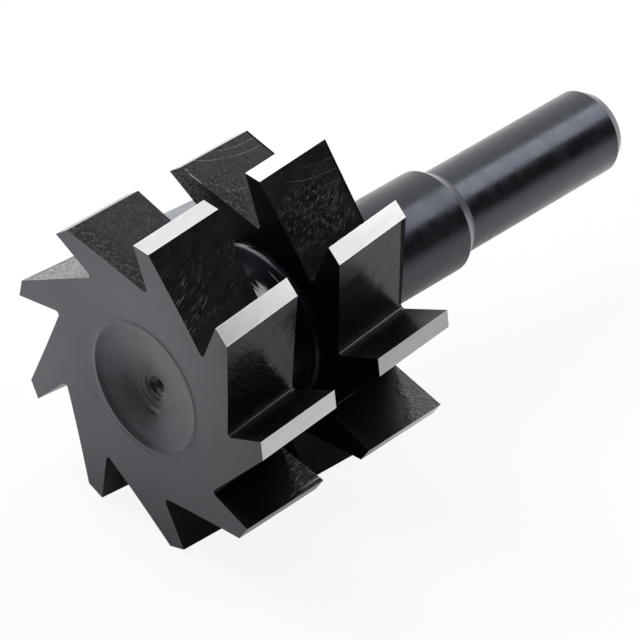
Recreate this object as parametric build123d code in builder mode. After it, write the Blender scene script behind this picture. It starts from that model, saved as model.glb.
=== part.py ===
from build123d import *
import math
import os

# Slot cutter router bit, turned and milled from one bar of tool steel.
# It lies on a bench as it comes to rest: the tool axis is level along X, the cutting end
# points to -X, and the two lowest teeth touch the bench.
# The origin is on the tool axis, at the shoulder where the shank starts.

# Cutting end
tip_diameter = 47.0
tooth_count = 9
front_disc_width = 13.6
slot_width = 8.2
rear_disc_width = 13.3
hub_diameter = 22.2
hub_corner_radius = 0.8

# Teeth
land_width = 2.75
land_relief_angle = 6.5
rake_angle = 12.0
flute_depth = 8.3
flute_corner_radius = 0.5
flute_slant_angle = 4.8

# Side faces of the discs, hollowed towards the axis so that only the teeth touch the work
front_relief_angle = 4.6
slot_relief_angle = 3.5

# Turned bowl and centre hole in the front face
bowl_diameter = 19.0
bowl_depth = 1.9
bowl_rim_radius = 0.6
centre_hole_diameter = 2.4
centre_hole_angle = 60.0
pilot_hole_diameter = 1.1
pilot_hole_depth = 0.9

# Neck and shank
neck_diameter = 15.4
neck_length = 20.5
neck_corner_radius = 0.8
shoulder_length = 2.2
shank_diameter = 12.7
shank_length = 31.3
shank_chamfer_length = 1.6
shank_chamfer_depth = 0.9

os.makedirs("parts", exist_ok=True)

tip_radius = tip_diameter / 2
hub_radius = hub_diameter / 2
bowl_radius = bowl_diameter / 2
centre_hole_radius = centre_hole_diameter / 2
pilot_hole_radius = pilot_hole_diameter / 2
neck_radius = neck_diameter / 2
shank_radius = shank_diameter / 2

# Stations along the tool axis, from the shoulder back to the front of the teeth
neck_end = -shoulder_length
rear_face = neck_end - neck_length
slot_rear = rear_face - rear_disc_width
slot_front = slot_rear - slot_width
front_face = slot_front - front_disc_width
teeth_length = rear_face - front_face
teeth_middle = (front_face + rear_face) / 2

# The slanted tips are straight lines, so they stand farther out at the end faces than in the
# middle, and the bar that they are cut from reaches them there
tip_set_over = teeth_length / 2 * math.tan(math.radians(flute_slant_angle))
bar_radius = math.hypot(tip_radius, tip_set_over + land_width / 2)


def hollow(radius, relief_angle):
    """How far a relieved side face lies behind its tooth tips at this radius."""
    return (tip_radius - radius) * math.tan(math.radians(relief_angle))


def polar(radius, angle):
    """A point of the flute outline, by its distance from the tool axis and its angle."""
    return Vector(radius, 0).rotate(Axis.Z, angle)


def corner(sketch, point):
    """The sketch's corner at this point."""
    return sketch.vertices().sort_by_distance(point)[0]


# The bowl is a shallow cone, whose depth is that of its point, and the centre hole is sunk into it
bowl_edge = front_face + hollow(bowl_radius, front_relief_angle)
centre_hole_mouth = bowl_edge + bowl_depth * (1 - centre_hole_radius / bowl_radius)
centre_hole_cone = (centre_hole_radius - pilot_hole_radius) / math.tan(math.radians(centre_hole_angle / 2))
pilot_hole_mouth = centre_hole_mouth + centre_hole_cone
pilot_hole_end = pilot_hole_mouth + pilot_hole_depth

# Corners of the turned section, as distance along the axis and radius
neck_corner = (rear_face, neck_radius)
rear_hub_corner = (slot_rear + hollow(hub_radius, slot_relief_angle), hub_radius)
front_hub_corner = (slot_front - hollow(hub_radius, slot_relief_angle), hub_radius)
bowl_rim = (bowl_edge, bowl_radius)

# One flute, seen along its slanted pass: the land and back of one tooth, and the rake face of the next
tooth_pitch = 360 / tooth_count
half_land = math.degrees(math.asin(land_width / 2 / tip_radius))
tip = polar(tip_radius, -half_land)
next_tip = polar(tip_radius, tooth_pitch - half_land)
land_direction = polar(1, 90 + land_relief_angle - half_land)
rake_direction = polar(1, tooth_pitch - half_land + 180 - rake_angle)
heel = tip + land_direction * land_width
gullet = next_tip + rake_direction * (flute_depth / math.cos(math.radians(rake_angle)))

# The outline goes on past the tips, so that the pass clears the bar
land_start = tip - land_direction * land_width
rake_start = next_tip - rake_direction * land_width
outside = polar(tip_diameter, tooth_pitch / 2)

with BuildPart() as slot_cutter:
    with BuildSketch(Plane.XZ) as turned_section:
        with BuildLine():
            Polyline(
                (centre_hole_mouth, centre_hole_radius),
                (pilot_hole_mouth, pilot_hole_radius),
                (pilot_hole_end, pilot_hole_radius),
                (pilot_hole_end, 0),
                (shank_length, 0),
                (shank_length, shank_radius - shank_chamfer_depth),
                (shank_length - shank_chamfer_length, shank_radius),
                (0, shank_radius),
                (neck_end, neck_radius),
                neck_corner,
                (rear_face, bar_radius),
                (slot_rear + hollow(bar_radius, slot_relief_angle), bar_radius),
                rear_hub_corner,
                front_hub_corner,
                (slot_front - hollow(bar_radius, slot_relief_angle), bar_radius),
                (front_face + hollow(bar_radius, front_relief_angle), bar_radius),
                bowl_rim,
                close=True,
            )
        make_face()
        fillet(corner(turned_section, neck_corner), radius=neck_corner_radius)
        for hub_corner in (rear_hub_corner, front_hub_corner):
            fillet(corner(turned_section, hub_corner), radius=hub_corner_radius)
        fillet(corner(turned_section, bowl_rim), radius=bowl_rim_radius)
    revolve(axis=Axis.X)

    # Each flute is milled in one straight pass through both discs, set over by the slant angle
    for tooth in range(tooth_count):
        land_radial = Vector(0, 0, 1).rotate(Axis.X, tooth * tooth_pitch)
        pass_direction = Vector(1, 0, 0).rotate(Axis.Z, flute_slant_angle).rotate(Axis.X, tooth * tooth_pitch)
        with BuildSketch(Plane((teeth_middle, 0, 0), x_dir=land_radial, z_dir=pass_direction)) as flute_section:
            with BuildLine():
                Polyline(land_start, heel, gullet, rake_start, outside, close=True)
            make_face()
            fillet(corner(flute_section, gullet), radius=flute_corner_radius)
    extrude(amount=teeth_length, both=True, mode=Mode.SUBTRACT)

slot_cutter.part.label = "slot_cutter"
export_step(slot_cutter.part, "parts/slot_cutter.step")
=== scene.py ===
import math
from typing import NamedTuple

import bmesh
import bpy
import numpy as np
from mathutils import Matrix, Vector
from mathutils.geometry import delaunay_2d_cdt


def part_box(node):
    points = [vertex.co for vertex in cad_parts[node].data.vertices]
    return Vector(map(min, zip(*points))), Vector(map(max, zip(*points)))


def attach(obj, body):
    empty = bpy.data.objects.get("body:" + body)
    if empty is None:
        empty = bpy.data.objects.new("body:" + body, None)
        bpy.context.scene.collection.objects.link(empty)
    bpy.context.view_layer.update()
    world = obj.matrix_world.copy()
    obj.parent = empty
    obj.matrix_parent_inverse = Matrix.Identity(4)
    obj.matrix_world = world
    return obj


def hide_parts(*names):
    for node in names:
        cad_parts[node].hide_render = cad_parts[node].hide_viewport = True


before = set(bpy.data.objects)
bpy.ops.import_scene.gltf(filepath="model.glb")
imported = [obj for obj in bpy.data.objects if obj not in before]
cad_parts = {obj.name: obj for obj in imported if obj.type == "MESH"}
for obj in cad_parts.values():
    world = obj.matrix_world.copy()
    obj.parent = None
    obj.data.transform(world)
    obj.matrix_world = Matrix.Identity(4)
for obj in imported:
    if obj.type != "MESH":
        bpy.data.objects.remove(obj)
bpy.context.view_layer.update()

MM = 0.001

# Sizes in millimetres, as the solid has them. The tool axis is X, and the teeth are at -X.
TEETH = 9
PITCH = 360 / TEETH
TIP_RADIUS = 23.5
FRONT_DISC_WIDTH = 13.6
SLOT_WIDTH = 8.2
REAR_DISC_WIDTH = 13.3
HUB_RADIUS = 11.1
HUB_CORNER_RADIUS = 0.8
LAND_WIDTH = 2.75
LAND_RELIEF = 6.5
RAKE_ANGLE = 12.0
FLUTE_DEPTH = 8.3
FLUTE_CORNER_RADIUS = 0.5
FLUTE_SLANT = 4.8
FRONT_RELIEF = 4.6
SLOT_RELIEF = 3.5
REAR_RELIEF = 0.0
BOWL_RADIUS = 9.5
BOWL_DEPTH = 1.9
BOWL_RIM_RADIUS = 0.6
CENTRE_HOLE_RADIUS = 1.2
CENTRE_HOLE_ANGLE = 60.0
PILOT_HOLE_RADIUS = 0.55
PILOT_HOLE_DEPTH = 0.9
NECK_RADIUS = 7.7
NECK_LENGTH = 20.5
NECK_CORNER_RADIUS = 0.8
SHOULDER_LENGTH = 2.2
SHANK_RADIUS = 6.35
SHANK_LENGTH = 31.3
SHANK_CHAMFER_LENGTH = 1.6
SHANK_CHAMFER_DEPTH = 0.9

# Small forms that only the picture needs: the lip that turning left round the bowl, a centre hole that
# runs a little out of true towards -Y, and soft corners. From the first to the second radius of HOLE_SPREAD
# the hole's offset fades out.
LIP_HEIGHT = 0.07
LIP_WIDTH = 0.8
HOLE_OFFSET = (-0.7, 0.0)
HOLE_SPREAD = (1.6, 4.2)
HOLE_CORNER_RADIUS = 0.6
STEP_CORNER_RADIUS = 0.25
EDGE_ROUNDING = 0.07
SHARP_ANGLE = 25.0

# A dark strip of low gloss along the rear edge of the rear disc's backs: its width at the
# heel and at the gullet, by tooth
REAR_STRIP = (0.35, 0.3)
REAR_STRIPS = {2: (0.95, 0.5)}

# Wear, and a painted reflection on the hub, with a place of its own, in mm, with angles in radians from +Z to
# +Y. Four numbers say where a mark starts, is full, fades and ends, and two say where it starts and is full.
# The ridge in the front face wanders between its two radii, and the dent's turn is in degrees.
RIDGE_RADII = (10.25, 10.5)
RIDGE_BELOW = (2.3, 2.75)
RIDGE_BESIDE = (0.5, 1.1, 2.0, 2.4)
DENT_PLACE = (-0.4, -4.05, 0.0)
DENT_SIZE = (1.2, 0.5, 1.0)
DENT_TURN = -12.0
HUB_POLISHED_ANGLES = (-0.33, -0.2, 0.25, 0.45)
HUB_DULL_ANGLES = (-1.1, -0.9, -0.4, -0.28)
HUB_SCRATCH_X = -36.88
HUB_SCRATCH_ANGLES = (-0.6, -0.48, -0.4, -0.28)
HUB_SCRATCH_TRACE = (-2.1, -1.7, -1.5, -1.2)
HUB_REFLECTION_X = (-41.7, -40.8, -39.6, -38.7)
HUB_REFLECTION_ANGLES = (-0.75, -0.65, -0.5, -0.36)
WORN_WALL_RADII = (14.5, 21.5)
WORN_WALL_ANGLES = (0.4, 0.65)
TIP_LINE = (7.36, 7.5, 7.54, 7.68)
ARC_WIDTH = 0.13

# How the mesh is divided
AROUND = 252
ROUND_STEPS = 6
LAND_STRIPS = 3
BACK_STRIPS = 10
RAKE_STRIPS = 6
ALONG = 8
BOWL_STEPS = 22
CAP_RADIUS = 14.0
FILL_STEP = 1.2
FILL_RINGS = 7
FILL_GAP = 0.6
WELD = 0.002

# The photograph's camera, solved from the teeth, the bowl and the shank
CAMERA_LENS = 250.0
CAMERA_SENSOR = 36.0
CAMERA_DISTANCE = 607.5
CAMERA_AZIMUTH = -134.84
CAMERA_ELEVATION = 35.64
CAMERA_ROLL = -0.38
CAMERA_TARGET = (-23.97, 0.0, -5.63)

# The studio: a white backdrop, a dim room on the side that ROOM_DIRECTION points to, and two level soft
# lamps, each with its low corner, its high corner and its height in mm, and its light. ROOM_EDGE holds the
# cosines of the angle to ROOM_DIRECTION at which the room starts and has taken over.
BACKDROP_LIGHT = 1.1
ROOM_LIGHT = 0.08
ROOM_DIRECTION = (-0.5, -0.866, 0.0)
ROOM_EDGE = (-0.54, 0.05)
SOFTBOX = ((200.0, -245.0), (450.0, 37.0), 300.0, 3.1)
TOP_LIGHT = ((-200.0, 50.0), (10.0, 540.0), 410.0, 5.0)

# The bench, in metres. Mirror images see a bright pool on it, which ends along a slanted line at -X and
# weakens to -Y. It is darker near the part, except on the open side at +Y.
BENCH_HALF = 1.5
POOL_SLANT = 0.42
POOL_END = (-0.087, -0.066)
POOL_FADE = (-0.22, -0.03)
OPEN_SIDE = (0.015, 0.036)
CONTACT_REACH = 0.07

# Stations along the tool axis
NECK_END = -SHOULDER_LENGTH
REAR_FACE = NECK_END - NECK_LENGTH
SLOT_REAR = REAR_FACE - REAR_DISC_WIDTH
SLOT_FRONT = SLOT_REAR - SLOT_WIDTH
FRONT_FACE = SLOT_FRONT - FRONT_DISC_WIDTH
TEETH_MIDDLE = (FRONT_FACE + REAR_FACE) / 2

FRONT, REAR = 0, 1


def polar(radius, degrees):
    """A point by its radius and its angle."""
    angle = math.radians(degrees)
    return radius * np.array([math.cos(angle), math.sin(angle)])


def rounded(before, corner, after, radius, steps=ROUND_STEPS):
    """The points of the arc that rounds a corner."""
    before, corner, after = (np.array(p, float) for p in (before, corner, after))
    one = (before - corner) / np.linalg.norm(before - corner)
    two = (after - corner) / np.linalg.norm(after - corner)
    half = math.acos(max(-1.0, min(1.0, float(one @ two)))) / 2
    start = corner + one * radius / math.tan(half)
    middle = corner + (one + two) / np.linalg.norm(one + two) * radius / math.sin(half)
    arm = start - middle
    sweep = math.pi - 2 * half
    sweep *= 1 if arm[0] * (corner - middle)[1] - arm[1] * (corner - middle)[0] > 0 else -1
    points = []
    for i in range(steps + 1):
        c, s = math.cos(sweep * i / steps), math.sin(sweep * i / steps)
        points.append(middle + np.array([c * arm[0] - s * arm[1], s * arm[0] + c * arm[1]]))
    return points


def crossing(a, b, c, d):
    """Where line AB meets line CD."""
    share = np.linalg.solve(np.column_stack([b - a, c - d]), c - a)[0]
    return a + (b - a) * share


# One flute, seen along its slanted pass: first number outwards from the axis, second round it
HALF_LAND = math.degrees(math.asin(LAND_WIDTH / 2 / TIP_RADIUS))
TIP = polar(TIP_RADIUS, -HALF_LAND)
NEXT_TIP = polar(TIP_RADIUS, PITCH - HALF_LAND)
HEEL = TIP + polar(LAND_WIDTH, 90 + LAND_RELIEF - HALF_LAND)
RAKE_LENGTH = FLUTE_DEPTH / math.cos(math.radians(RAKE_ANGLE))
GULLET = NEXT_TIP + polar(RAKE_LENGTH, PITCH - HALF_LAND + 180 - RAKE_ANGLE)
BACK_LENGTH = float(np.linalg.norm(GULLET - HEEL))


class Rail:
    """A straight line along the teeth: the point (y, z) that it has at each station x."""

    def __init__(self, at_zero, at_one):
        self.base = np.array(at_zero)
        self.slope = np.array(at_one) - self.base

    def at(self, x):
        return self.base + self.slope * x

    def towards(self, other, share):
        ends = [self.at(x) + (other.at(x) - self.at(x)) * share for x in (0, 1)]
        return Rail(*ends)


def slid(point, tooth, x):
    """Where the slanted pass of this tooth carries a point of the flute to, at station x."""
    slant = math.radians(FLUTE_SLANT)
    run = (x - TEETH_MIDDLE - point[1] * math.sin(slant)) / math.cos(slant)
    y, z = run * math.sin(slant) - point[1] * math.cos(slant), point[0]
    turn = math.radians(PITCH * tooth)
    return np.array([y * math.cos(turn) - z * math.sin(turn), y * math.sin(turn) + z * math.cos(turn)])


def flute_rail(point, tooth):
    return Rail(slid(point, tooth, 0), slid(point, tooth, 1))


def tip_rail(tooth):
    """The cutting edge, where the land meets the rake face that the flute before it made."""
    ends = [crossing(slid(TIP, tooth, x), slid(HEEL, tooth, x), slid(GULLET, tooth - 1, x),
                     slid(NEXT_TIP, tooth - 1, x)) for x in (0, 1)]
    return Rail(*ends)


def outline():
    """The rails round the teeth, and what starts at each: (rail, kind of face, tooth, mm across)."""
    rails = []

    def strips(first, last, count, kind, tooth, width):
        for i in range(count):
            rails.append((first.towards(last, i / count), kind, tooth, width * i / count))

    for tooth in range(TEETH):
        gullet = rounded(HEEL, GULLET, NEXT_TIP, FLUTE_CORNER_RADIUS)
        tip, heel, next_tip = tip_rail(tooth), flute_rail(HEEL, tooth), tip_rail(tooth + 1)
        back_end, rake_start = flute_rail(gullet[0], tooth), flute_rail(gullet[-1], tooth)
        strips(tip, heel, LAND_STRIPS, "land", tooth, LAND_WIDTH)
        strips(heel, back_end, BACK_STRIPS, "back", tooth, float(np.linalg.norm(gullet[0] - HEEL)))
        for i, point in enumerate(gullet[:-1]):
            rails.append((flute_rail(point, tooth), "gullet", tooth, i / ROUND_STEPS))
        strips(rake_start, next_tip, RAKE_STRIPS, "rake", (tooth + 1) % TEETH, RAKE_LENGTH)
    return rails


def face_station(station, side, relief):
    """The side face of a disc, hollowed towards the axis: its x at a radius."""
    return lambda radius: station + side * (TIP_RADIUS - radius) * math.tan(math.radians(relief))


front_x = face_station(FRONT_FACE, 1, FRONT_RELIEF)
slot_front_x = face_station(SLOT_FRONT, -1, SLOT_RELIEF)
slot_rear_x = face_station(SLOT_REAR, 1, SLOT_RELIEF)
rear_x = face_station(REAR_FACE, -1, REAR_RELIEF)


class Skin:
    """The mesh as it is put together: points in mm, and faces with their material and places."""

    def __init__(self):
        self.points, self.faces, self.finish, self.places, self.teeth = [], [], [], [], []

    def add(self, points):
        self.points += [tuple(float(v) for v in p) for p in points]
        return len(self.points) - len(points)

    def face(self, corners, finish, places=None, tooth=0):
        """A face, with its places in mm across and along, and the number of its tooth."""
        self.faces.append(tuple(corners))
        self.finish.append(finish)
        self.places += places or [(0.0, 0.0)] * len(corners)
        self.teeth += [(float(tooth), 0.0)] * len(corners)


def end_station(rail, station):
    """The station at which a rail runs into a side face."""
    x = station(TIP_RADIUS)
    for _ in range(8):
        x = station(float(np.hypot(*rail.at(x))))
    return x


def strip_start(kind, tooth, across, end):
    """The station where the rear strip of this tooth starts, on a rail that ends at this one."""
    heel, gullet = REAR_STRIPS.get(tooth + 1, REAR_STRIP)
    share = {"land": 0.0, "back": across / BACK_LENGTH}.get(kind, 1.0)
    return end - heel - (gullet - heel) * share


def tooth_walls(skin, rails, start, stop, disc):
    """The lands, backs, gullets and rake faces of one disc, and the outlines of its two sides."""
    first = skin.add([])
    spans = [(end_station(rail[0], start), end_station(rail[0], stop)) for rail in rails]
    for (rail, kind, tooth, across), (a, b) in zip(rails, spans):
        last = strip_start(kind, tooth, across, b)
        skin.add([(x, *rail.at(x)) for x in (*np.linspace(a, last, ALONG), b)])
    for i, (rail, kind, tooth, across) in enumerate(rails):
        j = (i + 1) % len(rails)
        step = float(np.linalg.norm(rails[j][0].at(start(0)) - rail.at(start(0))))
        far = across + step if rails[j][1] != kind else rails[j][3]
        for k in range(ALONG):
            a, b = first + i * (ALONG + 1) + k, first + j * (ALONG + 1) + k
            corners = (a, a + 1, b + 1, b)
            along = [skin.points[corner][0] - start(TIP_RADIUS) for corner in corners]
            strip = kind == "back" and disc == REAR and k == ALONG - 1
            finish = "rear_strip" if strip else finish_of(disc, kind, tooth)
            skin.face(corners, finish, list(zip((across, across, far, far), along)), tooth + TEETH * disc)
    return [[rail[0].at(span[end]) for rail, span in zip(rails, spans)] for end in (0, 1)]


def inside(polygon, points):
    """Which points lie inside a polygon."""
    result = np.zeros(len(points), bool)
    for (y0, z0), (y1, z1) in zip(polygon, np.roll(polygon, -1, axis=0)):
        spans = (z0 > points[:, 1]) != (z1 > points[:, 1])
        slope = (y1 - y0) / (z1 - z0) if z1 != z0 else 0.0
        result ^= spans & (points[:, 0] < y0 + slope * (points[:, 1] - z0))
    return result


def ring(radius, count=AROUND):
    return np.array([polar(radius, 360 * i / count) for i in range(count)])


def toothed_cap(skin, edge, station, finish):
    """The side face of a disc, from its toothed edge in to the turned middle."""
    edge = np.array(edge)
    circle = ring(CAP_RADIUS)
    radii = CAP_RADIUS + FILL_STEP * np.arange(1, FILL_RINGS + 1)
    fill = np.concatenate([ring(radius, AROUND // 2) for radius in radii])
    near = np.min(np.linalg.norm(fill[:, None] - edge[None], axis=2), axis=1)
    fill = fill[inside(edge, fill) & (near > FILL_GAP)]
    flat = [Vector(p) for p in np.concatenate([edge, circle, fill])]
    n, m = len(edge), len(circle)
    loops = [(i, (i + 1) % n) for i in range(n)] + [(n + i, n + (i + 1) % m) for i in range(m)]
    found, _, triangles, *_ = delaunay_2d_cdt(flat, loops, [], 0, 1e-6)
    found = np.array([tuple(p) for p in found])
    middles = np.array([found[list(t)].mean(axis=0) for t in triangles])
    keep = inside(edge, middles) & (np.hypot(*middles.T) > CAP_RADIUS * math.cos(math.pi / AROUND))
    first = skin.add([(station(float(np.hypot(*p))), *p) for p in found])
    for triangle, kept in zip(triangles, keep):
        if kept:
            skin.face([first + v for v in triangle], finish)


def hole_centre(radius):
    """Where the centre of the bowl's turning marks lies: on the axis, but beside it at the centre hole."""
    near, far = HOLE_SPREAD
    return np.array(HOLE_OFFSET) * max(0.0, min(1.0, (far - radius) / (far - near)))


def turned(skin, profile, centre=lambda radius: 0.0):
    """A surface turned about the tool axis, from (x, radius, finish) points."""
    first = skin.add([])
    for x, radius, _ in profile:
        skin.add([(x, *p) for p in ring(radius) + centre(radius)])
    for i in range(len(profile) - 1):
        for k in range(AROUND):
            a, b = first + i * AROUND, first + (i + 1) * AROUND
            skin.face((a + k, a + (k + 1) % AROUND, b + (k + 1) % AROUND, b + k), profile[i][2])


def closed_end(skin, x, radius, finish, centre=(0.0, 0.0)):
    """A flat disc across the axis."""
    first = skin.add([(x, *p) for p in ring(radius) + np.array(centre)])
    skin.face(range(first, first + AROUND), finish)


def line(points, finish):
    """Points of a profile, with the finish of the surface that starts at each."""
    return [(float(x), float(r), finish) for x, r in points]


def bowl_profile():
    """From the pilot hole out through the bowl, its rim and its lip to the face."""
    edge = front_x(BOWL_RADIUS)

    def bowl_x(radius):
        return edge + BOWL_DEPTH * (1 - radius / BOWL_RADIUS)

    def lip_x(radius):
        share = min(1.0, (radius - BOWL_RADIUS) / LIP_WIDTH)
        return front_x(radius) - LIP_HEIGHT * (1 - share * share * (3 - 2 * share))

    mouth = bowl_x(CENTRE_HOLE_RADIUS)
    pilot = mouth + (CENTRE_HOLE_RADIUS - PILOT_HOLE_RADIUS) / math.tan(math.radians(CENTRE_HOLE_ANGLE / 2))
    hole = [(pilot + PILOT_HOLE_DEPTH, PILOT_HOLE_RADIUS), (pilot, PILOT_HOLE_RADIUS)]
    first = CENTRE_HOLE_RADIUS + HOLE_CORNER_RADIUS
    corner = rounded((pilot, PILOT_HOLE_RADIUS), (mouth, CENTRE_HOLE_RADIUS), (bowl_x(first), first),
                     HOLE_CORNER_RADIUS, 5)
    last = BOWL_RADIUS - BOWL_RIM_RADIUS
    wall = [(bowl_x(r), r) for r in np.linspace(first, last, BOWL_STEPS)[:-1]]
    crest = (edge - LIP_HEIGHT, BOWL_RADIUS)
    beyond = (lip_x(BOWL_RADIUS + 0.15), BOWL_RADIUS + 0.15)
    rim = rounded((bowl_x(last), last), crest, beyond, BOWL_RIM_RADIUS)
    lip = [(lip_x(r), r) for r in BOWL_RADIUS + LIP_WIDTH * np.linspace(0.3, 1, 6)]
    face = [(front_x(r), r) for r in (11.2, 12.5, CAP_RADIUS)]
    return line(hole, "centre_hole") + line(corner + wall + rim, "bowl") + line(lip + face, "front_face")


def slot_profile():
    """From the front disc's rear side over the hub to the rear disc's front side."""
    corners = [(slot_front_x(CAP_RADIUS), CAP_RADIUS), (slot_front_x(HUB_RADIUS), HUB_RADIUS),
               (slot_rear_x(HUB_RADIUS), HUB_RADIUS), (slot_rear_x(CAP_RADIUS), CAP_RADIUS)]
    front = rounded(corners[0], corners[1], corners[2], HUB_CORNER_RADIUS, 8)
    rear = rounded(corners[1], corners[2], corners[3], HUB_CORNER_RADIUS, 8)
    return line(corners[:1], "slot") + line(front + rear[:-1], "hub") + line(rear[-1:] + corners[3:], "slot")


def shank_profile():
    """From the rear disc down to the neck and out to the end of the shank."""
    end = SHANK_LENGTH
    corners = [(REAR_FACE, CAP_RADIUS), (REAR_FACE, NECK_RADIUS), (NECK_END, NECK_RADIUS), (0, SHANK_RADIUS),
               (end - SHANK_CHAMFER_LENGTH, SHANK_RADIUS), (end, SHANK_RADIUS - SHANK_CHAMFER_DEPTH)]
    neck = rounded(*corners[0:3], NECK_CORNER_RADIUS, 8)
    step = rounded(*corners[1:4], STEP_CORNER_RADIUS, 3)
    foot = rounded(*corners[2:5], STEP_CORNER_RADIUS, 3)
    chamfer = rounded(*corners[3:6], STEP_CORNER_RADIUS, 3)
    return (line([corners[0]] + neck[:-1], "rear_face") + line(neck[-1:] + step[:-1], "neck")
            + line(step[-1:] + foot[:-1], "shoulder") + line(foot[-1:] + chamfer[:-1], "shank")
            + line(chamfer[-1:] + corners[5:], "chamfer"))


def build_cutter():
    """The whole bit as one closed mesh."""
    skin = Skin()
    rails = outline()
    front, front_rear = tooth_walls(skin, rails, front_x, slot_front_x, FRONT)
    rear_front, rear = tooth_walls(skin, rails, slot_rear_x, rear_x, REAR)
    toothed_cap(skin, front, front_x, "front_face")
    toothed_cap(skin, front_rear, slot_front_x, "slot")
    toothed_cap(skin, rear_front, slot_rear_x, "slot")
    toothed_cap(skin, rear, rear_x, "rear_face")
    bowl = bowl_profile()
    turned(skin, bowl, hole_centre)
    closed_end(skin, *bowl[0], hole_centre(0.0))
    turned(skin, slot_profile())
    shank = shank_profile()
    turned(skin, shank)
    closed_end(skin, *shank[-1][:2], "shank_end")
    return skin


def placed(name, data):
    """A new object in the scene."""
    made = bpy.data.objects.new(name, data)
    bpy.context.scene.collection.objects.link(made)
    return made


def mesh_object(name, skin, materials):
    """The skin as an object with slightly rounded edges. Its maps hold the places and the tooth numbers."""
    mesh = bpy.data.meshes.new(name)
    mesh.from_pydata([(x * MM, y * MM, z * MM) for x, y, z in skin.points], [], skin.faces)
    names = sorted(set(skin.finish))
    for finish in names:
        mesh.materials.append(materials[finish])
    mesh.polygons.foreach_set("material_index", [names.index(f) for f in skin.finish])
    mesh.polygons.foreach_set("use_smooth", [True] * len(mesh.polygons))
    for layer, pairs in (("face_mm", skin.places), ("tooth", skin.teeth)):
        mesh.uv_layers.new(name=layer).uv.foreach_set("vector", [v for pair in pairs for v in pair])
    work = bmesh.new()
    work.from_mesh(mesh)
    bmesh.ops.remove_doubles(work, verts=work.verts, dist=WELD * MM)
    bmesh.ops.delete(work, geom=[v for v in work.verts if not v.link_faces], context="VERTS")
    bmesh.ops.recalc_face_normals(work, faces=work.faces)
    work.to_mesh(mesh)
    work.free()
    mesh.set_sharp_from_angle(angle=math.radians(SHARP_ANGLE))
    piece = placed(name, mesh)
    rounding = piece.modifiers.new("edges", "BEVEL")
    rounding.width = EDGE_ROUNDING * MM
    rounding.segments = 2
    rounding.limit_method = "ANGLE"
    rounding.angle_limit = math.radians(SHARP_ANGLE)
    rounding.harden_normals = True
    return piece


class Graph:
    """The nodes of a material or of the world, with a call for each kind."""

    def __init__(self, tree):
        self.tree = tree
        self.tree.nodes.clear()

    def put(self, socket, value):
        if isinstance(value, bpy.types.NodeSocket):
            self.tree.links.new(value, socket)
        else:
            socket.default_value = value

    def node(self, kind, settings=None, **inputs):
        made = self.tree.nodes.new(kind)
        for key, value in (settings or {}).items():
            setattr(made, key, value)
        for key, value in inputs.items():
            self.put(made.inputs[key.replace("_", " ")], value)
        return made

    def operate(self, kind, operation, values):
        made = self.node(kind, {"operation": operation})
        for socket, value in zip(made.inputs, values):
            self.put(socket, value)
        return made.outputs

    def maths(self, operation, *values):
        return self.operate("ShaderNodeMath", operation, values)[0]

    def vectors(self, operation, *values):
        """The outputs of an operation on vectors: Vector and Value."""
        return self.operate("ShaderNodeVectorMath", operation, values)

    def add(self, *values):
        total = values[0]
        for value in values[1:]:
            total = self.maths("ADD", total, value)
        return total

    def times(self, *values):
        total = values[0]
        for value in values[1:]:
            total = self.maths("MULTIPLY", total, value)
        return total

    def minus(self, value, other):
        return self.maths("SUBTRACT", value, other)

    def larger(self, value, other):
        return self.maths("MAXIMUM", value, other)

    def apart(self, value, other):
        """How far apart two values are."""
        return self.maths("ABSOLUTE", self.minus(value, other))

    def hypotenuse(self, x, y):
        return self.maths("SQRT", self.add(self.times(x, x), self.times(y, y)))

    def sway(self, noise, reach):
        """A noise made into a shift to both sides."""
        return self.times(self.minus(noise, 0.5), reach)

    def ramp(self, value, low, high, start=0.0, end=1.0, smooth=True):
        """A step from start to end as value goes from low to high."""
        kind = "SMOOTHSTEP" if smooth else "LINEAR"
        made = self.node("ShaderNodeMapRange", {"interpolation_type": kind}, Value=value, From_Min=low,
                         From_Max=high, To_Min=start, To_Max=end)
        return made.outputs[0]

    def window(self, value, start, full, fading, end):
        """One between full and fading, and nothing before start and after end."""
        return self.times(self.ramp(value, start, full), self.ramp(value, fading, end, 1.0, 0.0))

    def mix(self, share, first, second):
        """A colour between two, through the node's sockets for colours."""
        made = self.node("ShaderNodeMix", {"data_type": "RGBA"})
        self.put(made.inputs[0], share)
        self.put(made.inputs[6], first)
        self.put(made.inputs[7], second)
        return made.outputs[2]

    def vector(self, x, y, z=0.0):
        return self.node("ShaderNodeCombineXYZ", X=x, Y=y, Z=z).outputs[0]

    def split(self, vector):
        return self.node("ShaderNodeSeparateXYZ", Vector=vector).outputs

    def stretched(self, vector, sizes, turn=0.0, offset=(0.0, 0.0, 0.0)):
        """The place in units of these sizes, along axes turned by this many degrees."""
        made = self.node("ShaderNodeMapping", {"vector_type": "TEXTURE"}, Vector=vector)
        made.inputs["Location"].default_value = offset
        made.inputs["Rotation"].default_value = (0.0, 0.0, math.radians(turn))
        made.inputs["Scale"].default_value = sizes
        return made.outputs[0]

    def noise(self, vector, scale=1.0, detail=2.0, roughness=0.5, distortion=0.0):
        made = self.node("ShaderNodeTexNoise", Vector=vector, Scale=scale, Detail=detail, Roughness=roughness,
                         Distortion=distortion)
        return made.outputs[0]

    def cells(self, vector):
        """Rounded pebbles, high in their middles."""
        made = self.node("ShaderNodeTexVoronoi", {"feature": "SMOOTH_F1"}, Vector=vector, Scale=1.0,
                         Smoothness=0.4)
        return self.minus(1.0, made.outputs["Distance"])

    def bump(self, *layers):
        """The surface raised by each layer's height times its depth in mm."""
        normal = None
        for height, depth in layers:
            made = self.node("ShaderNodeBump", Height=height, Distance=depth * MM, Strength=1.0)
            if normal is not None:
                self.put(made.inputs["Normal"], normal)
            normal = made.outputs[0]
        return normal

    def end(self, kind, shader):
        """The output node, with this shader."""
        self.tree.links.new(shader.outputs[0], self.node(kind).inputs[0])


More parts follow.
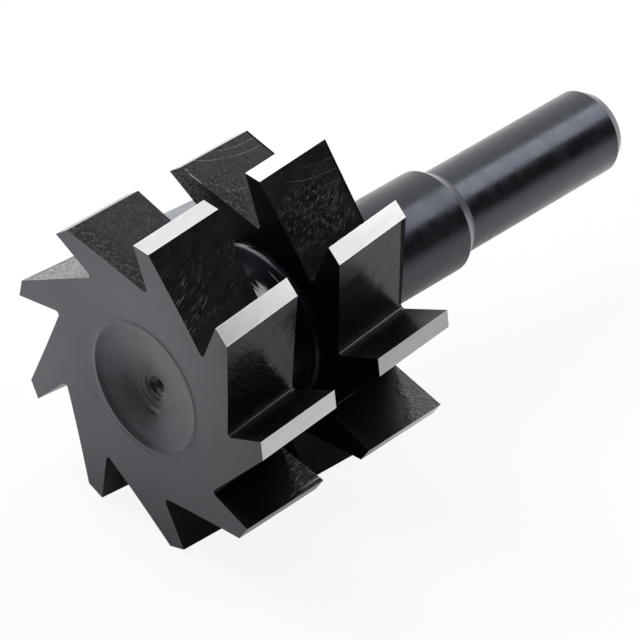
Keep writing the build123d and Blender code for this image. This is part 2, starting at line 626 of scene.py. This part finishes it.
def new_material(name):
    material = bpy.data.materials.new(name)
    material.use_nodes = True
    return material, Graph(material.node_tree)


def grey(level, red=1.0, blue=1.0):
    return (level * red, level, level * blue, 1.0)


WHITE = grey(1.0)
OXIDE_TINT = (0.86, 0.9, 1.0, 1.0)
TURNED_TINT = (0.74, 0.81, 1.0, 1.0)


def finish_surface(graph, colour, roughness, normal, metallic=0.0, index=1.58, tint=OXIDE_TINT):
    """The shader of a steel surface. Tint is the colour of its mirror image."""
    shader = graph.node("ShaderNodeBsdfPrincipled", Base_Color=colour, Roughness=roughness, Metallic=metallic,
                        Normal=normal)
    shader.inputs["IOR"].default_value = index
    graph.put(shader.inputs["Specular Tint"], tint)
    graph.end("ShaderNodeOutputMaterial", shader)


def face_place(graph):
    """Where on its own face a point lies: as a vector that differs by tooth, mm across, and mm along."""
    across, along, _ = graph.split(graph.node("ShaderNodeUVMap", {"uv_map": "face_mm"}).outputs[0])
    tooth = graph.split(graph.node("ShaderNodeUVMap", {"uv_map": "tooth"}).outputs[0])[0]
    return graph.vector(across, along, graph.times(tooth, 3.7)), across, along


def body_place(graph):
    """The point in the part's frame in mm, its x, its radius, and its angle in radians from +Z to +Y."""
    place = graph.node("ShaderNodeTexCoord").outputs["Object"]
    place = graph.vectors("MULTIPLY", place, (1 / MM,) * 3)["Vector"]
    x, y, z = graph.split(place)
    return place, x, graph.hypotenuse(y, z), graph.maths("ARCTAN2", y, z)


# Where wear lies on a face, in mm: where it starts, is full, fades and ends
ANYWHERE = (-2.0, -1.0, 30.0, 31.0)


class Marks(NamedTuple):
    """Scratches or dots on a back. The turn is from the way along, and over and down are where they lie."""
    width: float
    length: float
    turn: float
    sparse: float
    shown: float
    over: tuple = ANYWHERE
    down: tuple = ANYWHERE


class Arc(NamedTuple):
    """A long fine scratch in a circle, from one distance along the back to another."""
    radius: float
    start: float
    stop: float
    shown: float


class EdgeGlint(NamedTuple):
    """A painted highlight along the back's front edge: a short straight bright line, from one (across, along)
    point of the back to another.
    """
    start: tuple
    end: tuple
    width: float
    shown: float


class Relief(NamedTuple):
    """Short folds, as hammering leaves them, with a painted highlight on their flanks and painted shade in
    the pits between: how bright the flanks are, and how dark the pits.
    """
    width: float
    length: float
    turn: float
    depth: float
    shown: float
    pits: float = 0.0
    over: tuple = ANYWHERE
    down: tuple = ANYWHERE


class Fade(NamedTuple):
    """How the mirror image changes in strength from one distance across the back to another."""
    start: float
    end: float
    first: float
    last: float


def wear_window(graph, across, along, wear):
    """The part of a face that these marks or folds lie on."""
    return graph.times(graph.window(across, *wear.over), graph.window(along, *wear.down))


def strokes(graph, place, marks):
    """Fine scratches or dots, in clumps. A higher sparse leaves fewer."""
    drawn = graph.noise(graph.stretched(place, (marks.width, marks.length, 1.0), marks.turn), detail=1.0)
    clump = graph.noise(graph.stretched(place, (1.8, 3.2, 1.0), marks.turn, (5.0, 0.0, 0.0)), detail=2.0)
    drawn = graph.ramp(drawn, marks.sparse, marks.sparse + 0.12)
    return graph.times(drawn, graph.ramp(clump, 0.4, 0.6, 0.12, 1.0))


def folds(graph, place, relief):
    """The height of short folds, and the mask of the flanks that get a painted highlight."""
    sizes = (relief.width, relief.length, 1.0)
    warp = graph.node("ShaderNodeTexNoise", Vector=place, Scale=1.3, Detail=2.0).outputs["Color"]
    warp = graph.vectors("MULTIPLY", warp, (0.5, 0.5, 0.5))["Vector"]
    place = graph.vectors("ADD", place, warp)["Vector"]
    height = graph.cells(graph.stretched(place, sizes, relief.turn))
    beside = graph.cells(graph.stretched(place, sizes, relief.turn, (0.1, -0.12, 0.0)))
    return height, graph.ramp(graph.minus(height, beside), 0.06, 0.26)


def edge_glint_mask(graph, across, along, edge_glint):
    """The mask of one painted edge highlight."""
    length = math.dist(edge_glint.start, edge_glint.end)
    run, rise = (edge_glint.end[0] - edge_glint.start[0]) / length, (edge_glint.end[1] - edge_glint.start[1]) / length
    right = graph.minus(across, edge_glint.start[0])
    up = graph.minus(along, edge_glint.start[1])
    gone = graph.add(graph.times(right, run), graph.times(up, rise))
    beside = graph.apart(graph.times(right, rise), graph.times(up, run))
    reach = graph.window(gone, -0.2, 0.2, length - 0.2, length + 0.2)
    return graph.times(graph.ramp(beside, 0.0, edge_glint.width, 1.0, 0.0), reach, edge_glint.shown)


def grinding_arcs(graph, place, across, along, centre, arcs):
    """How far each point lies from the grinding centre, and the mask of the arcs."""
    distance = graph.hypotenuse(graph.minus(across, centre[0]), graph.minus(along, centre[1]))
    distance = graph.add(distance, graph.sway(graph.noise(place, 0.3, 2.0), 0.5))
    drawn = 0.0
    for arc in arcs:
        reach = graph.window(along, arc.start - 0.8, arc.start + 0.8, arc.stop - 0.4, arc.stop + 0.4)
        stroke = graph.ramp(graph.apart(distance, arc.radius), 0.0, ARC_WIDTH, 1.0, 0.0)
        drawn = graph.larger(drawn, graph.times(stroke, reach, arc.shown))
    return distance, drawn


def black_back(name, index=1.5, roughness=0.28, tone=0.004, grain=0.0, marks=(), edge_glints=(), arcs=(),
               centre=(-23.84, 14.72), relief=None, swirl=0.004, wave=0.0, fade=None):
    """The black back of a tooth, with what grinding, hammering and handling left on it, and with painted
    highlights on its fold flanks and front edge and painted shade in the pits.
    """
    material, graph = new_material(name)
    place, across, along = face_place(graph)
    cloud = graph.noise(graph.stretched(place, (2.2, 3.0, 1.0), 30.0), detail=3.0, roughness=0.6)
    speck = graph.noise(graph.stretched(place, (0.26, 0.5, 1.0), 27.0), detail=3.0, roughness=0.7)
    blotch = graph.noise(graph.stretched(place, (0.8, 0.8, 1.0)), detail=2.0, roughness=0.6)
    distance, drawn = grinding_arcs(graph, place, across, along, centre, arcs)
    fine_arcs = graph.noise(graph.vector(distance, graph.times(along, 0.06)), 2.2, 3.0, 0.65)
    scratches_and_highlights = graph.times(drawn, graph.ramp(cloud, 0.35, 0.6, 0.35, 1.0))
    for layer in marks:
        here = wear_window(graph, across, along, layer)
        scratches_and_highlights = graph.larger(scratches_and_highlights, graph.times(strokes(graph, place, layer), here, layer.shown))
    # Painted highlights along the front edge
    for edge_glint in edge_glints:
        scratches_and_highlights = graph.larger(scratches_and_highlights, edge_glint_mask(graph, across, along, edge_glint))
    layers = [(fine_arcs, swirl)]
    shown = 1.0
    if fade:
        shown = graph.ramp(graph.add(across, graph.sway(blotch, 2.0)), *fade)
    if relief:
        here = wear_window(graph, across, along, relief)
        # Painted light and shade on the folds: a highlight on one flank of each, and shade in the pits
        height, flanks = folds(graph, place, relief)
        scratches_and_highlights = graph.larger(scratches_and_highlights, graph.times(flanks, here, relief.shown))
        layers.append((graph.times(height, here), relief.depth))
        pits = graph.times(graph.ramp(height, 0.4, 0.7, relief.pits, 0.0), here)
        shown = graph.times(shown, graph.minus(1.0, pits))
    if wave:
        layers.append((graph.noise(graph.stretched(place, (5.0, 5.0, 1.0)), detail=1.0), wave))
    layers.append((speck, 0.004))
    patches = graph.ramp(blotch, 0.34, 0.62, 0.15, 1.0)
    specks = graph.times(graph.ramp(speck, 0.34, 0.66), patches, shown, grain)
    level = graph.add(graph.times(tone, graph.ramp(cloud, 0.3, 0.7, 0.5, 1.5)), specks)
    colour = graph.mix(scratches_and_highlights, graph.vector(level, level, graph.times(level, 1.15)), grey(0.42))
    rough = graph.ramp(cloud, 0.3, 0.7, roughness - 0.04, roughness + 0.04)
    rough = graph.add(rough, graph.times(scratches_and_highlights, 0.2))
    tint = graph.vector(graph.times(shown, 0.86), graph.times(shown, 0.9), shown)
    finish_surface(graph, colour, rough, graph.bump(*layers), index=index, tint=tint)
    return material


def ground_land(name, tone=0.72, red=1.0, blue=1.01, rise=0.0):
    """Bright ground steel with fine lines along it, painted highlights along its edges, and a painted
    brightening to the rear.
    """
    material, graph = new_material(name)
    place, across, along = face_place(graph)
    lines = graph.noise(graph.stretched(place, (0.09, 4.0, 1.0)), detail=2.0)
    cloud = graph.noise(graph.stretched(place, (1.2, 3.0, 1.0)), detail=2.0)
    near_tip = graph.ramp(across, 0.06, 0.2, 1.0, 0.0)
    near_heel = graph.ramp(across, LAND_WIDTH - 0.22, LAND_WIDTH - 0.08)
    shade = graph.add(graph.times(lines, 0.35), graph.times(cloud, 0.65))
    # Painted light: the tone rises towards the rear of the land
    level = graph.add(graph.ramp(shade, 0.35, 0.65, tone * 0.96, tone * 1.03),
                      graph.ramp(along, 0.0, FRONT_DISC_WIDTH, -rise, rise, smooth=False))
    steel = graph.vector(graph.times(level, red), level, graph.times(level, blue))
    # Painted highlights: lighter colour along the tip and heel edges
    edge = graph.times(graph.larger(near_tip, near_heel), 0.7)
    colour = graph.mix(edge, steel, grey(min(0.97, tone * 1.2)))
    rough = graph.ramp(lines, 0.3, 0.7, 0.3, 0.38)
    finish_surface(graph, colour, rough, graph.bump((lines, 0.0008)), metallic=1.0, tint=WHITE)
    return material


def oxide(name, tone=0.004, roughness=0.28, index=1.58):
    """Black oxide with a soft mottling."""
    material, graph = new_material(name)
    place = body_place(graph)[0]
    cloud = graph.noise(place, 0.5, 4.0, 0.6)
    fine = graph.noise(place, 5.0, 3.0)
    colour = graph.mix(graph.ramp(cloud, 0.35, 0.65), grey(tone * 0.8, blue=1.1), grey(tone * 1.2, blue=1.1))
    rough = graph.ramp(cloud, 0.3, 0.7, roughness - 0.03, roughness + 0.03)
    finish_surface(graph, colour, rough, graph.bump((fine, 0.0005)), index=index)
    return material


def rough_rake(name, index, size, turn, depth, shown, start, tip_line=0.0):
    """A rake face left rough: short folds, rubbed bright behind start, and a bright line beside the tip."""
    material, graph = new_material(name)
    place, across, along = face_place(graph)
    cloud = graph.noise(graph.stretched(place, (2.5, 2.5, 1.0)), detail=3.0, roughness=0.6)
    wave = graph.noise(graph.stretched(place, (*size, 1.0), turn), detail=1.0, roughness=0.5, distortion=0.4)
    reached = graph.add(along, graph.times(across, 0.55), graph.sway(cloud, 3.0))
    rear = graph.ramp(reached, start, start + 1.5)
    line_here = graph.times(graph.window(across, *TIP_LINE), graph.ramp(along, 9.5, 11.5), tip_line)
    rubbed = graph.larger(graph.times(graph.ramp(wave, 0.48, 0.66), rear, shown), line_here)
    colour = graph.mix(rubbed, grey(0.004, blue=1.15), grey(0.8, red=1.04, blue=0.94))
    image = graph.ramp(reached, start - 4.0, start + 1.5, 0.45, 1.0)
    tint = graph.vector(graph.times(image, 0.9), graph.times(image, 0.93), image)
    normal = graph.bump((graph.times(wave, graph.add(rear, 0.15)), depth))
    finish_surface(graph, colour, 0.28, normal, index=index, tint=tint)
    return material


def turned_black(name, tone=0.004, roughness=0.28, index=1.6, lines=0.0008):
    """Black steel turned on a lathe: soft rings round the axis, and a faint mottling."""
    material, graph = new_material(name)
    place, x, _, angle = body_place(graph)
    rings = graph.noise(graph.vector(x, graph.times(angle, 0.4)), 3.0, 4.0, 0.6)
    cloud = graph.noise(place, 0.35, 4.0, 0.6)
    fine = graph.noise(place, 4.0, 3.0)
    shade = graph.add(graph.times(rings, 0.3), graph.times(cloud, 0.7))
    colour = graph.mix(graph.ramp(shade, 0.4, 0.6), grey(tone * 0.6, blue=1.15), grey(tone * 1.4, blue=1.15))
    rough = graph.ramp(shade, 0.38, 0.62, roughness - 0.04, roughness + 0.04)
    finish_surface(graph, colour, rough, graph.bump((rings, lines), (fine, 0.0006)), index=index,
                   tint=TURNED_TINT)
    return material


def hub():
    """The turned hub. The top of its corners is polished, and it has a painted reflection and a fine scratch;
    its mirror image is painted weaker towards -Y.
    """
    material, graph = new_material("hub")
    place, x, radius, angle = body_place(graph)
    cloud = graph.noise(place, 0.35, 4.0, 0.6)
    fine = graph.noise(place, 4.0, 3.0)
    corner = graph.times(graph.ramp(radius, HUB_RADIUS + 0.12, HUB_RADIUS + 0.17),
                         graph.window(angle, *HUB_POLISHED_ANGLES))
    dull_corner = graph.times(graph.ramp(radius, HUB_RADIUS + 0.02, HUB_RADIUS + 0.15),
                              graph.window(angle, *HUB_DULL_ANGLES))
    # Painted shade: the hub's mirror image is made weaker towards -Y
    shaded_tint = graph.ramp(angle, -1.1, -0.6, 0.06, 0.11)
    tint = graph.mix(corner, graph.vector(shaded_tint, graph.times(shaded_tint, 1.1), graph.times(shaded_tint, 1.35)), WHITE)
    along_scratch = graph.add(graph.window(angle, *HUB_SCRATCH_ANGLES),
                              graph.times(graph.window(angle, *HUB_SCRATCH_TRACE), 0.15))
    scratch = graph.times(graph.ramp(graph.apart(x, HUB_SCRATCH_X), 0.0, 0.14, 1.0, 0.0), along_scratch)
    # A painted reflection: a light, streaky spot on the hub
    streaks = graph.noise(graph.vector(graph.times(x, 1.6), graph.times(angle, 1.2)), 3.0, 3.0, 0.65, 0.4)
    fringe = graph.add(angle, graph.sway(streaks, 0.7))
    painted_reflection = graph.times(graph.window(x, *HUB_REFLECTION_X), graph.window(fringe, *HUB_REFLECTION_ANGLES))
    # The lightened mask holds both the fine scratch and the painted reflection
    lightened = graph.larger(graph.times(scratch, 0.3), graph.times(painted_reflection, 0.8))
    black = graph.mix(cloud, grey(0.003, blue=1.4), grey(0.007, blue=1.5))
    rough = graph.add(graph.ramp(corner, 0.0, 0.3, 0.3, 0.05), graph.times(lightened, 0.3),
                      graph.times(dull_corner, 0.25))
    finish_surface(graph, graph.mix(lightened, black, grey(0.7)), rough, graph.bump((cloud, 0.01), (fine, 0.0008)),
                   index=2.6, tint=tint)
    return material


def slot_wall():
    """The side faces in the slot: black, with wear that lightens them towards the tips on the +Y side."""
    material, graph = new_material("slot")
    place, _, radius, angle = body_place(graph)
    rings = graph.noise(graph.vector(graph.times(radius, 4.5), graph.times(angle, 22.0)), 1.0, 2.0)
    fine = graph.noise(place, 2.0, 3.0, 0.6)
    lightened = graph.add(graph.ramp(rings, 0.38, 0.62, 0.0, 0.28), graph.ramp(fine, 0.36, 0.66, 0.0, 0.2))
    lightened = graph.times(lightened, graph.ramp(radius, *WORN_WALL_RADII), graph.ramp(angle, *WORN_WALL_ANGLES))
    colour = graph.mix(lightened, grey(0.003, blue=1.9), grey(0.42))
    finish_surface(graph, colour, 0.3, graph.bump((rings, 0.01), (fine, 0.01)), index=1.14,
                   tint=(0.8, 0.86, 1.0, 1.0))
    return material


def front_face():
    """Satin grey ground face, with a fine ridge below the bowl that goes on faintly on its +Y side."""
    material, graph = new_material("front_face")
    place, _, radius, angle = body_place(graph)
    cloud = graph.noise(place, 0.25, 3.0)
    grain = graph.noise(place, 6.0, 3.0)
    ridge_radius = graph.ramp(graph.noise(place, 0.18, 1.0), 0.3, 0.7, *RIDGE_RADII)
    below = graph.ramp(graph.maths("ABSOLUTE", angle), *RIDGE_BELOW, 0.1, 1.6)
    beside = graph.times(graph.window(angle, *RIDGE_BESIDE), 0.35)
    ridge = graph.ramp(graph.apart(radius, ridge_radius), 0.0, 0.22, 1.0, 0.0)
    ridge = graph.times(ridge, graph.add(below, beside))
    colour = graph.mix(graph.ramp(cloud, 0.3, 0.7), grey(0.02, blue=1.06), grey(0.026, blue=1.06))
    normal = graph.bump((grain, 0.0008), (ridge, 0.03))
    finish_surface(graph, colour, 0.31, normal, index=1.92, tint=(0.86, 0.89, 1.0, 1.0))
    return material


def bowl():
    """The turned bowl, smoother and darker than the face round it, with marks round the centre hole."""
    material, graph = new_material("bowl")
    place, _, radius, _ = body_place(graph)
    across, up = graph.split(place)[1:]
    beside = graph.minus(across, HOLE_OFFSET[0])
    out = graph.hypotenuse(beside, up)
    round_hole = graph.maths("ARCTAN2", beside, up)
    rings = graph.noise(graph.vector(out, graph.times(round_hole, 0.45)), 2.6, 3.0, 0.6)
    crescents = graph.noise(graph.vector(out, graph.times(round_hole, 0.5), 3.0), 1.5, 1.0)
    inner = graph.ramp(out, *HOLE_SPREAD, 1.0, 0.0)
    outer = graph.ramp(radius, 7.6, 9.0, 0.0, 0.25)
    dent = graph.stretched(graph.vector(across, up), DENT_SIZE, DENT_TURN, DENT_PLACE)
    from_dent = graph.vectors("LENGTH", dent)["Value"]
    wide = graph.noise(place, 0.25, 2.0)
    colour = graph.mix(graph.ramp(wide, 0.3, 0.7), grey(0.008, blue=1.1), grey(0.012, blue=1.1))
    normal = graph.bump((wide, 0.06), (graph.times(rings, graph.add(0.06, inner, outer)), 0.04),
                        (graph.times(crescents, inner), 0.13), (graph.ramp(from_dent, 0.0, 1.2), 0.07))
    shown = graph.ramp(out, 2.5, 6.5, 0.62, 1.07)
    tint = graph.vector(graph.times(shown, 0.85), graph.times(shown, 0.88), shown)
    finish_surface(graph, colour, 0.2, normal, index=1.73, tint=tint)
    return material


def make_backs():
    """Each back in view has its own wear and its own painted highlights and shade, and the others share one
    kind.
    """
    kinds = {
        "back": dict(
            marks=(Marks(0.2, 2.6, 24.0, 0.64, 0.3, over=(1.5, 4.0, 10.0, 14.0)),
                   Marks(0.24, 0.3, 0.0, 0.7, 0.25)),
            relief=Relief(0.5, 1.0, 27.0, 0.015, 0.06, 0.3)),
        "back_T9": dict(
            index=1.34, roughness=0.34, grain=0.03, wave=0.03,
            marks=(Marks(0.22, 0.7, 10.0, 0.6, 0.22, down=(-1.0, -0.5, 1.0, 3.0)),),
            relief=Relief(0.5, 0.6, 10.0, 0.02, 0.08, 0.5, down=(-1.0, 0.0, 2.0, 6.0))),
        "back_T1": dict(
            index=1.52, roughness=0.24, grain=0.006,
            marks=(Marks(0.17, 2.6, 22.0, 0.58, 0.55, (3.5, 6.5, 10.8, 12.2), (-1.0, -0.3, 4.0, 7.5)),
                   Marks(0.15, 1.6, 36.0, 0.62, 0.3, (2.5, 4.5, 10.0, 12.0), (1.5, 4.0, 12.5, 13.6)),
                   Marks(0.16, 1.5, 3.0, 0.62, 0.45, (8.5, 10.0, 12.0, 12.8), (-1.0, -0.5, 2.5, 5.0)),
                   Marks(0.25, 0.3, 0.0, 0.68, 0.3, over=(1.5, 3.0, 11.5, 12.8)))),
        "back_T2": dict(
            index=1.41, roughness=0.24, swirl=0.016, wave=0.16,
            relief=Relief(0.4, 1.8, -43.0, 0.02, 0.02, 0.2)),
        "back_T8": dict(
            index=1.3, roughness=0.3, tone=0.02, grain=0.36, wave=0.03,
            marks=(Marks(0.3, 0.4, 0.0, 0.55, 0.6, down=(-1.0, -0.5, 0.8, 2.0)),),
            relief=Relief(0.4, 0.5, 20.0, 0.03, 0.4, 0.5),
            fade=Fade(0.3, 2.2, 0.25, 1.0)),
        "back_R8": dict(index=3.9, roughness=0.3, grain=0.05),
        "back_R9": dict(
            index=1.34, roughness=0.34, grain=0.032, swirl=0.008, wave=0.04,
            edge_glints=(EdgeGlint((1.5, 0.06), (4.0, 0.1), 0.3, 1.0), EdgeGlint((0.6, 0.3), (1.0, 0.4), 0.25, 0.4)),
            centre=(-14.56, 12.35),
            arcs=(Arc(16.16, 5.8, 13.6, 0.32), Arc(17.7, 2.4, 13.0, 0.3), Arc(23.72, 2.3, 5.2, 0.2)),
            marks=(Marks(0.2, 0.7, 27.0, 0.6, 0.16, (3.0, 6.0, 20.0, 21.0), (-1.0, -0.5, 3.0, 8.0)),
                   Marks(0.14, 1.4, 60.0, 0.64, 0.1)),
            relief=Relief(0.45, 0.6, 27.0, 0.02, 0.1, 0.5, (2.0, 5.0, 11.5, 13.0), (-1.0, 0.0, 3.0, 8.0))),
        "back_R1": dict(
            index=1.46, roughness=0.28, swirl=0.012,
            arcs=(Arc(26.38, 7.6, 13.2, 0.14), Arc(27.98, 4.2, 13.1, 0.16), Arc(29.48, 10.0, 13.1, 0.14),
                  Arc(31.17, 8.3, 10.8, 0.16), Arc(32.7, 6.1, 10.2, 0.14)),
            marks=(Marks(0.2, 2.4, 38.0, 0.6, 0.3, (5.0, 7.0, 10.5, 12.0), (8.0, 9.5, 12.3, 13.0)),
                   Marks(0.3, 2.6, 0.0, 0.6, 0.05)),
            relief=Relief(0.3, 1.25, 34.0, 0.07, 0.55, 0.5, (2.5, 5.0, 11.0, 12.2), (0.2, 1.0, 8.5, 13.0)),
            fade=Fade(10.5, 13.5, 1.0, 0.35)),
        "back_R2": dict(
            index=1.52, roughness=0.26, swirl=0.01, wave=0.12,
            relief=Relief(0.35, 1.6, 50.0, 0.02, 0.02, 0.3, down=(2.0, 5.0, 20.0, 21.0))),
        "rear_strip": dict(index=1.15, roughness=0.5, tone=0.002, swirl=0.0),
    }
    return {name: black_back(name, **kind) for name, kind in kinds.items()}


def make_lands():
    """Some lands have a tone of their own: painted light and shade for how brightly each one mirrors the
    studio.
    """
    kinds = {
        "land": dict(),
        "land_T1": dict(tone=0.67, red=0.99, blue=1.02),
        "land_T2": dict(tone=0.79, blue=0.985, rise=0.13),
        "land_T3": dict(tone=0.56, red=0.99, blue=1.02),
        "land_T4": dict(tone=0.95),
        "land_T9": dict(tone=0.31),
        "land_R1": dict(tone=0.88),
        "land_R2": dict(tone=0.85, red=0.99, blue=0.975),
        "land_R3": dict(tone=0.39, red=0.98, blue=0.99),
        "land_R4": dict(tone=0.95),
        "land_R9": dict(tone=0.53),
    }
    return {name: ground_land(name, **kind) for name, kind in kinds.items()}


def make_flutes():
    """The rake faces and gullets, where the picture shows some rougher or glossier than the others."""
    kinds = {
        "rake": dict(),
        # rake_T6's lighter tone is painted light, for the light that reflects near its gullet
        "rake_T6": dict(tone=0.045, roughness=0.34, index=1.4),
        "gullet": dict(tone=0.006, roughness=0.2, index=1.5),
        "gullet_T1": dict(roughness=0.4, index=1.15),
        "gullet_T2": dict(tone=0.006, roughness=0.16, index=1.9),
        "gullet_R1": dict(roughness=0.4, index=1.15),
        "gullet_R2": dict(tone=0.006, roughness=0.2, index=1.7),
    }
    made = {name: oxide(name, **kind) for name, kind in kinds.items()}
    made["rake_T4"] = rough_rake("rake_T4", 1.66, (0.38, 1.3), 8.0, depth=0.1, shown=0.26, start=12.4,
                                 tip_line=1.0)
    made["rake_R4"] = rough_rake("rake_R4", 2.0, (0.22, 0.7), -24.0, depth=0.07, shown=0.07, start=11.8)
    return made


def make_shank():
    """The surfaces behind the teeth, and the centre hole."""
    kinds = {
        "centre_hole": dict(tone=0.09, roughness=0.5, index=1.6, lines=0.03),
        "neck": dict(index=1.54),
        "shoulder": dict(roughness=0.16, index=1.9),
        "shank": dict(roughness=0.27),
        "chamfer": dict(roughness=0.16, index=2.0),
    }
    made = {name: turned_black(name, **kind) for name, kind in kinds.items()}
    made["rear_face"] = oxide("rear_face")
    made["shank_end"] = oxide("shank_end", tone=0.02, roughness=0.35)
    return made


def make_materials():
    return {**make_lands(), **make_backs(), **make_flutes(), **make_shank(), "front_face": front_face(),
            "bowl": bowl(), "slot": slot_wall(), "hub": hub()}


def finish_of(disc, kind, tooth):
    """The material of a face of this disc's tooth. Some teeth have their own."""
    own = f"{kind}_{'TR'[disc]}{tooth + 1}"
    return own if own in materials else kind


def add_floor(height):
    """A white bench that keeps a light shadow, and a bright pool on it that only mirror images see."""
    material, graph = new_material("white_bench")
    paper = graph.node("ShaderNodeBsdfDiffuse", Color=grey(0.82))
    light_path = graph.node("ShaderNodeLightPath").outputs
    x, y, _ = graph.split(graph.node("ShaderNodeTexCoord").outputs["Object"])
    slanted = graph.add(x, graph.times(y, POOL_SLANT))
    pool = graph.times(graph.ramp(slanted, *POOL_END, 0.08, 1.05), graph.ramp(y, *POOL_FADE, 0.3, 1.0))
    open_sky = graph.node("ShaderNodeAmbientOcclusion", {"samples": 8}, Distance=CONTACT_REACH).outputs["AO"]
    shade = graph.larger(graph.maths("POWER", open_sky, 2.2), graph.ramp(y, *OPEN_SIDE))
    seen, mirrored = light_path["Is Camera Ray"], light_path["Is Glossy Ray"]
    glow = graph.add(seen, graph.times(mirrored, pool, shade, 1.15))
    white = graph.node("ShaderNodeEmission", Color=WHITE, Strength=glow)
    share = graph.add(graph.times(seen, 0.9), graph.times(mirrored, 0.85))
    blend = graph.node("ShaderNodeMixShader")
    graph.put(blend.inputs[0], share)
    graph.tree.links.new(paper.outputs[0], blend.inputs[1])
    graph.tree.links.new(white.outputs[0], blend.inputs[2])
    graph.end("ShaderNodeOutputMaterial", blend)
    mesh = bpy.data.meshes.new("bench")
    corners = [(x * BENCH_HALF, y * BENCH_HALF, height) for x, y in ((-1, -1), (1, -1), (1, 1), (-1, 1))]
    mesh.from_pydata(corners, [], [(0, 1, 2, 3)])
    mesh.materials.append(material)
    bench = placed("bench", mesh)


def add_world():
    """A white backdrop behind the part, and a dim room on its -Y side."""
    world = bpy.data.worlds.new("studio")
    bpy.context.scene.world = world
    world.use_nodes = True
    graph = Graph(world.node_tree)
    direction = graph.node("ShaderNodeTexCoord").outputs["Generated"]
    towards_room = graph.vectors("DOT_PRODUCT", direction, ROOM_DIRECTION)["Value"]
    room = graph.ramp(towards_room, *ROOM_EDGE, BACKDROP_LIGHT, ROOM_LIGHT, smooth=False)
    seen = graph.node("ShaderNodeLightPath").outputs["Is Camera Ray"]
    background = graph.node("ShaderNodeBackground", Color=WHITE, Strength=graph.larger(room, seen))
    graph.end("ShaderNodeOutputWorld", background)


def add_lamp(name, low, high, height, light):
    """A level soft lamp over the part, from its low corner to its high one, as bright as this."""
    lamp = bpy.data.lights.new(name, "AREA")
    lamp.shape = "RECTANGLE"
    lamp.size, lamp.size_y = ((b - a) * MM for a, b in zip(low, high))
    lamp.energy = 4 * light * lamp.size * lamp.size_y
    made = placed(name, lamp)
    made.location = [v * MM for v in (*((a + b) / 2 for a, b in zip(low, high)), height)]
    made.visible_camera = False


def add_camera():
    """The photograph's view."""
    data = bpy.data.cameras.new("camera")
    data.lens = CAMERA_LENS
    data.sensor_width = CAMERA_SENSOR
    made = placed("camera", data)
    azimuth, elevation = math.radians(CAMERA_AZIMUTH), math.radians(CAMERA_ELEVATION)
    back = Vector((math.cos(elevation) * math.cos(azimuth), math.cos(elevation) * math.sin(azimuth),
                   math.sin(elevation)))
    made.location = (Vector(CAMERA_TARGET) + back * CAMERA_DISTANCE) * MM
    level = (-back).to_track_quat("-Z", "Y").to_matrix().to_4x4()
    made.rotation_euler = (level @ Matrix.Rotation(math.radians(CAMERA_ROLL), 4, "Z")).to_euler()
    bpy.context.scene.camera = made


materials = make_materials()
cutter = mesh_object("cutter", build_cutter(), materials)
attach(cutter, "root")
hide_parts("slot_cutter")

add_floor(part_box("slot_cutter")[0].z)
add_world()
add_lamp("softbox", *SOFTBOX)
add_lamp("top_light", *TOP_LIGHT)
add_camera()
bpy.context.scene.view_settings.view_transform = "Standard"
